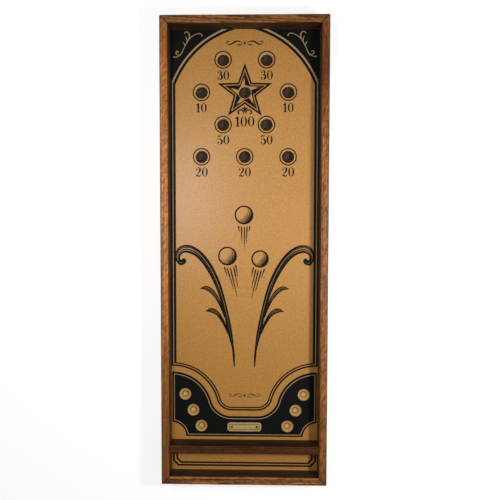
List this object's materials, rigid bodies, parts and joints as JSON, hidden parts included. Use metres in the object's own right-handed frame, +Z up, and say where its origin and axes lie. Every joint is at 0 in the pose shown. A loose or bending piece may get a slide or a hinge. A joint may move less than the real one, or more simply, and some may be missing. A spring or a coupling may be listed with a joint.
{
  "type": "tabletop japanese billiards board",
  "caption": "Long shallow wooden game board: a mitred frame round a printed field with ball pockets, dished ball rests, a blank plate and a barred ball bay.",
  "frame": {"origin": "centre of the footprint, on the surface that the pads stand on", "axes": "+Z up out of the field, +Y along the board from the player's end to the pocket end, +X to the player's right"},
  "size_m": [0.4, 1.12, 0.0684],
  "materials": {
    "stained_wood": "brown stain under satin varnish, open grain",
    "fibreboard": "tan fibreboard with matte black print",
    "plain_wood": "sawn softwood",
    "hardboard": "brown hardboard",
    "felt": "dark felt",
    "brass": "brushed brass, a little dull",
    "steel": "zinc-plated steel",
    "rubber": "matte black rubber"
  },
  "bodies": {
    "root": {"rail_left": "stained_wood", "rail_right": "stained_wood", "rail_far": "stained_wood", "rail_near": "stained_wood", "corner_key_far_left": "plain_wood", "corner_key_far_right": "plain_wood", "corner_key_near_left": "plain_wood", "corner_key_near_right": "plain_wood", "field_board": "fibreboard", "pocket_felt": "felt", "backing_panel": "hardboard", "ledger_left": "plain_wood", "ledger_right": "plain_wood", "ledger_far": "plain_wood", "ledger_near": "plain_wood", "cross_batten_1": "plain_wood", "cross_batten_2": "plain_wood", "divider_bar": "stained_wood", "bar_screw_1": "steel", "bar_screw_2": "steel", "bar_screw_3": "steel", "brass_plate": "brass", "plate_pin_left": "brass", "plate_pin_right": "brass", "pad_far_left": "rubber", "pad_far_right": "rubber", "pad_near_left": "rubber", "pad_near_right": "rubber", "backing_screw_1": "steel", "backing_screw_2": "steel", "backing_screw_3": "steel", "backing_screw_4": "steel", "backing_screw_5": "steel", "backing_screw_6": "steel", "backing_screw_7": "steel", "backing_screw_8": "steel", "backing_screw_9": "steel", "backing_screw_10": "steel", "backing_screw_11": "steel", "backing_screw_12": "steel"}
  },
  "joints": []
}
